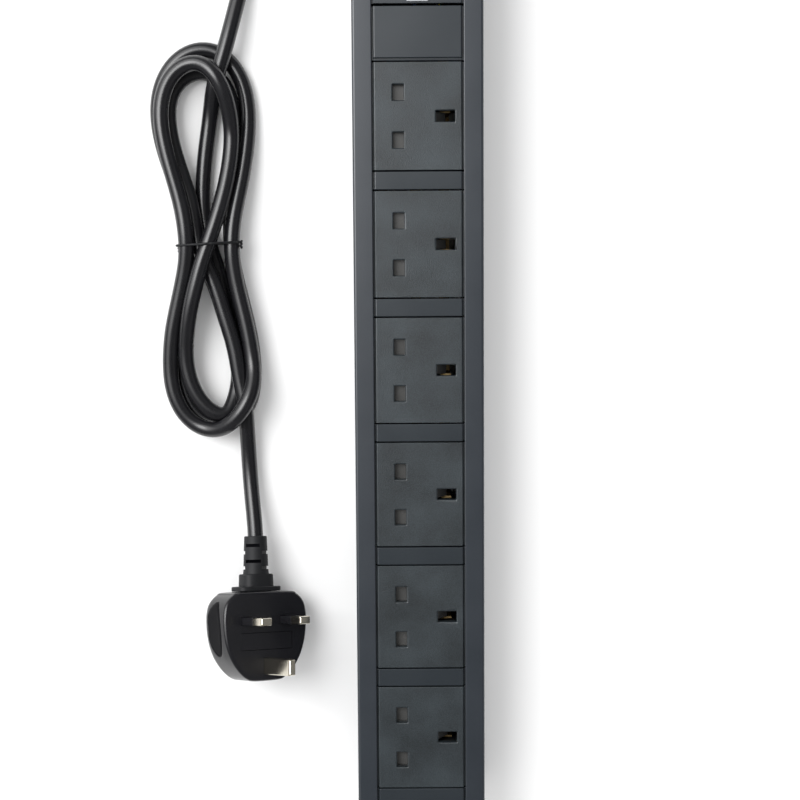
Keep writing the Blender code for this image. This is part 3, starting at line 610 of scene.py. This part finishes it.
def make_modules():
    for i in range(1, 7):
        refine(f"socket_face_{i}", SPARK, 0.3)
        refine(f"spacer_{i}", SMOOTH, 0.45)
        refine(f"shutter_{i}", SHUTTER, 0.3)
        refine(f"socket_base_{i}", BLACK, 0.3)
    refine("blank_panel", SMOOTH, 0.45)
    refine("switch_plate", SMOOTH, 0.35)


def make_inside():
    for name in ("bus_bar_live", "bus_bar_neutral", "bus_bar_earth", "earth_terminal"):
        refine(name, BRASS, 0.15, 2)
    refine("insulator_tray", TRAY, 0.2, 2)
    refine("live_wire", BROWN, 0.05, 1)
    refine("neutral_wire", BLUE, 0.05, 1)
    refine("earth_wire", GREEN, 0.05, 1)
    refine("gland_locknut", BLACK, 0.4, 2)
    refine("indicator_lamp", LENS, 0.5, 3)


def make_ends():
    for name in ("end_bracket_lead", "end_bracket_far"):
        refine(name, BRACKET_COAT, 0.35)


def make_switch():
    refine("switch_body", PLUG_GLOSS, 0.4)
    pivot, tilt = (0.0, 200.0, 44.6), math.radians(-8)
    half_x, half_y = 7.4, 9.9
    rows, columns = 24, 10
    rings = []
    for k in range(columns + 1):
        x = -half_x + 2 * half_x * k / columns
        edge = min(1.0, (half_x - abs(x)) / 0.6)
        ring = []
        for i in range(rows + 1):
            y = -half_y + 2 * half_y * i / rows
            share = abs(y) / half_y
            dish = 0.55 * math.sin(math.pi * share)
            ring.append((x, y, 2.1 + 1.9 * share - dish - 0.35 * (1 - edge)))
        ring += [(x, half_y - 0.9, -4.0), (x, 2.2, -8.0), (x, -2.2, -8.0), (x, -half_y + 0.9, -4.0)]
        rings.append(ring)
    place = Matrix.Translation(mm(*pivot)) @ Matrix.Rotation(tilt, 4, "X")
    rocker = put("rocker_key", loft(rings), SMOOTH, ("switch_rocker",), "rocker", place)
    smooth(rocker, 30)
    stroke = box_mesh((-0.35, 4.6, 2.5), (0.35, 8.0, 2.95))
    bar = put("rocker_mark_on", stroke, MARK, (), "rocker", place)
    rounded_edges(bar, 0.1, 2)
    ring = []
    for i in range(28):
        angle = 2 * math.pi * i / 28
        ring.append((1.6 * math.cos(angle), -6.3 + 1.6 * math.sin(angle), 2.75))
    circle = curve_piece("rocker_mark_off", ring, 0.6, MARK, (), closed=True, sides=2, body="rocker")
    circle.matrix_world = place


def make_lens():
    """A ribbed lens over the indicator's lamp."""
    low, high = node_box("indicator_lens")
    wide, long = high.x - low.x, high.y - low.y
    y = (low.y + high.y) / 2
    levels = [(low.z, 2.0), (high.z - 1.3, 2.0), (high.z - 1.3, 0.0), (high.z - 0.7, 0.0)]
    levels += [(high.z - 0.35, 0.2), (high.z - 0.1, 0.7)]
    rings = []
    for z, inset in levels:
        outline = rounded_rectangle(wide - inset, long - inset, 0.8)
        rings.append([(a, y + b, z) for a, b in outline])
    lens = put("lens_cover", loft(rings), LENS, ("indicator_lens",))
    ribs = []
    for i in range(7):
        x = -3.6 + 1.2 * i
        rib = [(x - 0.42, high.z - 0.3), (x + 0.42, high.z - 0.3), (x + 0.42, high.z - 0.1), (x, high.z)]
        rib.append((x - 0.42, high.z - 0.1))
        ribs.append(loft([[(a, b, c) for a, c in rib] for b in (y - 4.4, y + 4.4)]))
    cut(lens, ribs, "UNION")
    smooth(lens)


def make_gland():
    """A hexagon, a fluted dome nut and a tapered, grooved tail where the lead comes out."""
    low, high = node_box("cable_gland")
    seat = high.y - 20.0
    centre = (0.0, 0.0, 22.0)

    def flats(angle, along):
        if not seat <= along <= seat + 4.5:
            return 1.0
        turn = (angle + math.pi / 6) % (math.pi / 3) - math.pi / 6
        return min(1.0, 0.9 / math.cos(turn))

    def flutes(angle, along):
        if along <= seat + 4.5 or along >= seat + 10.5:
            return 1.0
        return 1.0 - 0.05 * max(0.0, math.cos(14 * angle)) ** 2

    body = [(low.y, 7.5), (low.y + 0.4, 7.9), (seat, 7.9), (seat, 10.6), (seat + 0.5, 11.0)]
    body += [(seat + 4.0, 11.0), (seat + 4.5, 10.6), (seat + 4.5, 9.4), (seat + 4.9, 9.8)]
    body += [(seat + 9.2, 9.8), (seat + 10.2, 9.2), (seat + 11.0, 8.6)]
    for i in range(4):
        y, radius = seat + 11.6 + 2.1 * i, 8.3 - 0.62 * i
        body += [(y, radius), (y + 1.1, radius - 0.3), (y + 1.1, radius - 1.2), (y + 1.7, radius - 1.3)]
    body += [(high.y - 0.4, 5.8), (high.y, 5.4)]

    def shape(angle, along):
        return flats(angle, along) * flutes(angle, along)

    piece = put("gland", turned(body, 84, centre, shape=shape), RUBBER, ("cable_gland",))
    cut(piece, [turned([(low.y - 2, 4.1), (high.y + 2, 4.1)], 32, centre)])
    smooth(piece, 28)


# ---------------------------------------------------------------- plug

PIN_X = 22.23 / 2
PIN_LINE_Y = 7.6
EARTH_PIN_Y = PIN_LINE_Y - 22.23
PIN_SIZE = (6.35, 4.0)
EARTH_PIN_SIZE = (4.0, 8.0)
GRIP_FROM_X = 12  # the grips lie in the plug's sides, further out than this


def plug_outline(inset=0.0):
    half, top, low, corner = 24.0, 21.8, -21.8, 10.5
    right = []
    for angle in (90, 60, 30, 0):
        turn = math.radians(angle)
        right.append((half - corner * (1 - math.cos(turn)), top - corner * (1 - math.sin(turn))))
    right += [(half, 4.5), (half - 1.0, -2.5), (half - 3.1, -8.8), (half - 5.8, -13.6)]
    right += [(half - 9.1, -17.6), (half - 13.0, low + 1.2), (half - 17.5, low)]
    outline = right + [(-x, y) for x, y in reversed(right)]
    smooth_outline = catmull([Vector((x, y, 0)) for x, y in outline], 10, closed=True)
    return [(p.x * (half - inset) / half, p.y * (top - inset) / top) for p in smooth_outline]


def window(value, low, high, edge):
    """0 outside low to high and 1 inside, turning over smoothly across edge."""
    t = min(value - low, high - value) / edge
    t = max(0.0, min(1.0, t))
    return t * t * (3 - 2 * t)


def grip_reach(y, z):
    """1 on the edge of the finger grip in the plug's side, and less inside it."""
    return math.hypot((y - 4.0) / 14.0, (z + 10.0) / 6.4)


def make_plug():
    """The plug's shell: a rounded rim, sides with a shallow finger grip each, and a rounded back."""
    rim, back, back_edge, back_inset = 1.7, -21.5, 5.5, 5.6
    levels = [(0.0, 2.6)]
    for i in range(7):
        angle = math.pi / 2 * i / 6
        levels.append((-rim * (1 - math.cos(angle)), rim * (1 - math.sin(angle))))
    side_steps, side_end = 36, back + back_edge
    for i in range(1, side_steps + 1):
        levels.append((-rim + (side_end + rim) * i / side_steps, 0.0))
    for i in range(1, 9):
        angle = math.pi / 2 * i / 8
        levels.append((side_end - back_edge * math.sin(angle), back_inset * (1 - math.cos(angle))))
    rings = []
    for z, inset in levels:
        bulge = 0.45 * math.sin(math.pi * window(z, back, 0.0, 10.0) / 2)
        ring = []
        for x, y in plug_outline(inset):
            if abs(x) > GRIP_FROM_X:
                dip = 0.8 * window(grip_reach(y, z), -1.0, 1.0, 0.16)
                x += math.copysign(bulge * window(y, -17.0, 19.0, 9.0) - dip, x)
            ring.append((x, y, z))
        rings.append(ring)
    body = put("plug_shell", loft(rings), PLUG_GLOSS, ("plug_body",), matrix=PLUG_MATRIX)
    body.data.materials.append(GRIP)
    for face in body.data.polygons:
        x, y, z = face.center / MM
        if abs(x) > GRIP_FROM_X and grip_reach(y, z) < 0.97:
            face.material_index = 1
    holes = []
    for x, y, wide, tall, depth in (
        (PIN_X, PIN_LINE_Y, 6.55, 4.2, 8.6),
        (-PIN_X, PIN_LINE_Y, 6.55, 4.2, 8.6),
        (0, EARTH_PIN_Y, 4.2, 8.2, 8.6),
        (0, -2.4, 29.8, 8.6, 9.3),
    ):
        outline = rounded_rectangle(wide, tall, 0.5, 3)
        holes.append(loft([[(x + a, y + b, z) for a, b in outline] for z in (-depth, 1)]))
    cut(body, holes)
    smooth(body, 32)
    return body


def pin_rings(x, y, size, levels):
    """Rounded rectangles up a pin: levels are (z, how much smaller)."""
    width, height = size
    rings = []
    for z, less in levels:
        outline = rounded_rectangle(width - less, height - less, min(0.5, (height - less) / 3), 3)
        rings.append([(x + a, y + b, z) for a, b in outline])
    return rings


def make_pins():
    made = []
    sleeve_end, reach = 9.5, 17.7
    for label, x in (("live", PIN_X), ("neutral", -PIN_X)):
        levels = [(-8.3, 0.7), (sleeve_end, 0.7), (sleeve_end, 0.15), (sleeve_end + 0.15, 0.0)]
        levels += [(reach - 1.3, 0.0), (reach - 0.5, 0.45), (reach - 0.15, 0.95), (reach, 1.5)]
        rings = pin_rings(x, PIN_LINE_Y, PIN_SIZE, levels)
        pin = put(f"{label}_pin", loft(rings), PIN, (f"pin_{label}",), matrix=PLUG_MATRIX)
        smooth(pin)
        outside = [(-3.0, 0.0), (sleeve_end - 0.3, 0.0), (sleeve_end - 0.1, 0.2)]
        inside = [(sleeve_end - 0.1, 0.6), (-3.0, 0.6)]
        tube = loft(pin_rings(x, PIN_LINE_Y, PIN_SIZE, outside + inside), closed=True)
        sleeve = put(f"{label}_pin_sleeve", tube, SLEEVING, matrix=PLUG_MATRIX)
        smooth(sleeve)
        made += [pin, sleeve]
    reach = 22.7
    levels = [(-8.3, 0.0), (reach - 1.6, 0.0), (reach - 0.6, 0.6), (reach - 0.15, 1.2), (reach, 1.8)]
    rings = pin_rings(0, EARTH_PIN_Y, EARTH_PIN_SIZE, levels)
    earth = put("earth_pin", loft(rings), PIN, ("pin_earth",), matrix=PLUG_MATRIX)
    smooth(earth)
    made.append(earth)
    return made


def make_sleeve():
    """The strain relief: a flange, a collar and a slotted, tapering sleeve."""
    top = 22.1
    steps = [  # (from the plug, half width, half height, squareness)
        (0.0, 11.9, 6.7, 4.0),
        (0.3, 12.2, 7.0, 4.0),
        (1.9, 12.2, 7.0, 4.0),
        (2.3, 11.8, 6.6, 4.0),
        (2.4, 8.5, 6.5, 3.0),
        (8.0, 8.3, 6.4, 3.0),
        (8.5, 7.9, 6.1, 3.0),
        (8.5, 6.6, 6.1, 2.2),
        (9.0, 6.4, 6.1, 2.1),
        (14.0, 6.2, 6.0, 2.0),
        (20.0, 6.0, 5.8, 2.0),
        (26.9, 5.75, 5.6, 2.0),
        (27.2, 5.65, 5.5, 2.0),
        (27.4, 5.35, 5.2, 2.0),
    ]
    rings = []
    for out, half_x, half_z, square in steps:
        ring = []
        for i in range(56):
            angle = 2 * math.pi * i / 56
            c, s = math.cos(angle), math.sin(angle)
            x = half_x * math.copysign(abs(c) ** (2 / square), c)
            z = half_z * math.copysign(abs(s) ** (2 / square), s)
            ring.append((x, top + out, -LEAD_DEPTH + z))
        rings.append(ring)
    mesh = loft(rings)
    sleeve = put("plug_strain_relief", mesh, RUBBER, ("strain_relief",), matrix=PLUG_MATRIX)
    bore = turned([(top + 18.3, 4.1), (top + 40, 4.1)], 32, (0, 0, -LEAD_DEPTH))
    twist = Matrix.Translation(mm(0, 0, -LEAD_DEPTH)) @ Matrix.Rotation(math.radians(-48), 4, "Y")
    side_slots = {11.6: 4.35, 19.2: 4.35}  # from the plug: where the slot's floor is, from the axis
    front_slots = {14.8: 3.0, 22.7: 4.6}
    half_slot = 0.8
    slots = []
    for out, depth in (side_slots | front_slots).items():
        for side in (-1, 1):
            near, far = sorted((side * depth, side * 9.0))
            y0, y1 = top + out - half_slot, top + out + half_slot
            if out in side_slots:
                slot = box_mesh((near, y0, -7.0), (far, y1, 7.0))
            else:
                slot = box_mesh((-3.9, y0, near), (3.9, y1, far))
            slot.transform(twist)
            slots.append(slot)
    cut(sleeve, [bore, *slots])
    # The front slots' sunk faces take a near-black colour: painted shade on their floors and walls.
    sleeve.data.materials.append(SLOT_PAINTED_SHADE)
    for face in sleeve.data.polygons:
        x, y, z = face.center / MM
        sunk_in_shade = math.hypot(x, z + LEAD_DEPTH) < 5.2 or abs(face.normal.y) > 0.9
        if sunk_in_shade and any(abs(y - top - out) < half_slot + 0.1 for out in front_slots):
            face.material_index = 1
    smooth(sleeve, 32)
    return sleeve


make_chassis()
make_modules()
make_inside()
make_ends()
make_screws()
make_switch()
make_lens()
make_gland()
PLUG_PIECES = [make_plug(), *make_pins(), make_sleeve()]
refine("fuse_carrier", PLUG_GLOSS, 0.3)
refine("fuse_link", CERAMIC, 0.3)

# ---------------------------------------------------------------- floor and light


def make_floor():
    mesh = bpy.data.meshes.new("floor")
    half = 2.5
    corners = [(-half, -half, 0), (half, -half, 0), (half, half, 0), (-half, half, 0)]
    mesh.from_pydata(corners, [], [(0, 1, 2, 3)])
    floor = bpy.data.objects.new("floor", mesh)
    floor.location.z = -0.0002
    bpy.context.scene.collection.objects.link(floor)
    mesh.materials.append(surface("floor_white", (0.9, 0.9, 0.9), 0.85, (3.0, 0.01), tone=0.0))


def make_light():
    """White light from all round; what shines sees a darker room with one large soft light in it."""
    world = bpy.data.worlds.new("studio")
    world.use_nodes = True
    nodes, link = world.node_tree.nodes, world.node_tree.links.new
    looks = nodes.new("ShaderNodeTexCoord").outputs["Generated"]

    def graded(direction, stops):
        """Levels by how far the line of sight lies along a direction, from -1 to 1."""
        along = nodes.new("ShaderNodeVectorMath")
        along.operation = "DOT_PRODUCT"
        along.inputs[1].default_value = Vector(direction).normalized()
        link(looks, along.inputs[0])
        share = nodes.new("ShaderNodeMapRange")
        share.inputs["From Min"].default_value = -1.0
        link(along.outputs["Value"], share.inputs["Value"])
        ramp = nodes.new("ShaderNodeValToRGB")
        while len(ramp.color_ramp.elements) < len(stops):
            ramp.color_ramp.elements.new(0.5)
        for element, (place_on, level) in zip(ramp.color_ramp.elements, stops):
            element.position = (place_on + 1) / 2
            element.color = (level, level, level, 1.0)
        link(share.outputs["Result"], ramp.inputs["Fac"])
        return ramp.outputs["Color"]

    below_horizon = [(-1.0, 0.9), (-0.04, 0.9)]
    above_horizon = [(0.04, 0.2), (0.3, 0.26), (0.6, 0.26), (0.8, 0.1), (1.0, 0.07)]
    room = graded((0, 0, 1), below_horizon + above_horizon)
    softbox = graded((-0.55, 0.35, 0.76), [(0.0, 0.0), (0.76, 0.0), (0.9, 3.1), (1.0, 3.1)])
    both = nodes.new("ShaderNodeVectorMath")
    both.operation = "ADD"
    link(room, both.inputs[0])
    link(softbox, both.inputs[1])
    mix = nodes.new("ShaderNodeMix")
    mix.data_type = "RGBA"
    first, second = [socket for socket in mix.inputs if socket.type == "RGBA"]
    first.default_value = (1.0, 1.0, 1.0, 1.0)
    link(both.outputs["Vector"], second)
    link(nodes.new("ShaderNodeLightPath").outputs["Is Glossy Ray"], mix.inputs["Factor"])
    link([socket for socket in mix.outputs if socket.type == "RGBA"][0], nodes["Background"].inputs["Color"])
    bpy.context.scene.world = world
    data = bpy.data.lights.new("key", "AREA")
    data.shape = "DISK"
    data.size = 0.75
    data.energy = 10.3
    key = bpy.data.objects.new("key", data)
    towards = Vector((-0.459, 0.265, 0.848))
    key.location = Vector((-0.03, 0.0, 0.0)) + 1.2 * towards
    key.rotation_euler = towards.to_track_quat("Z", "Y").to_euler()
    bpy.context.scene.collection.objects.link(key)


make_floor()
make_light()
bpy.context.scene.view_settings.view_transform = "Standard"
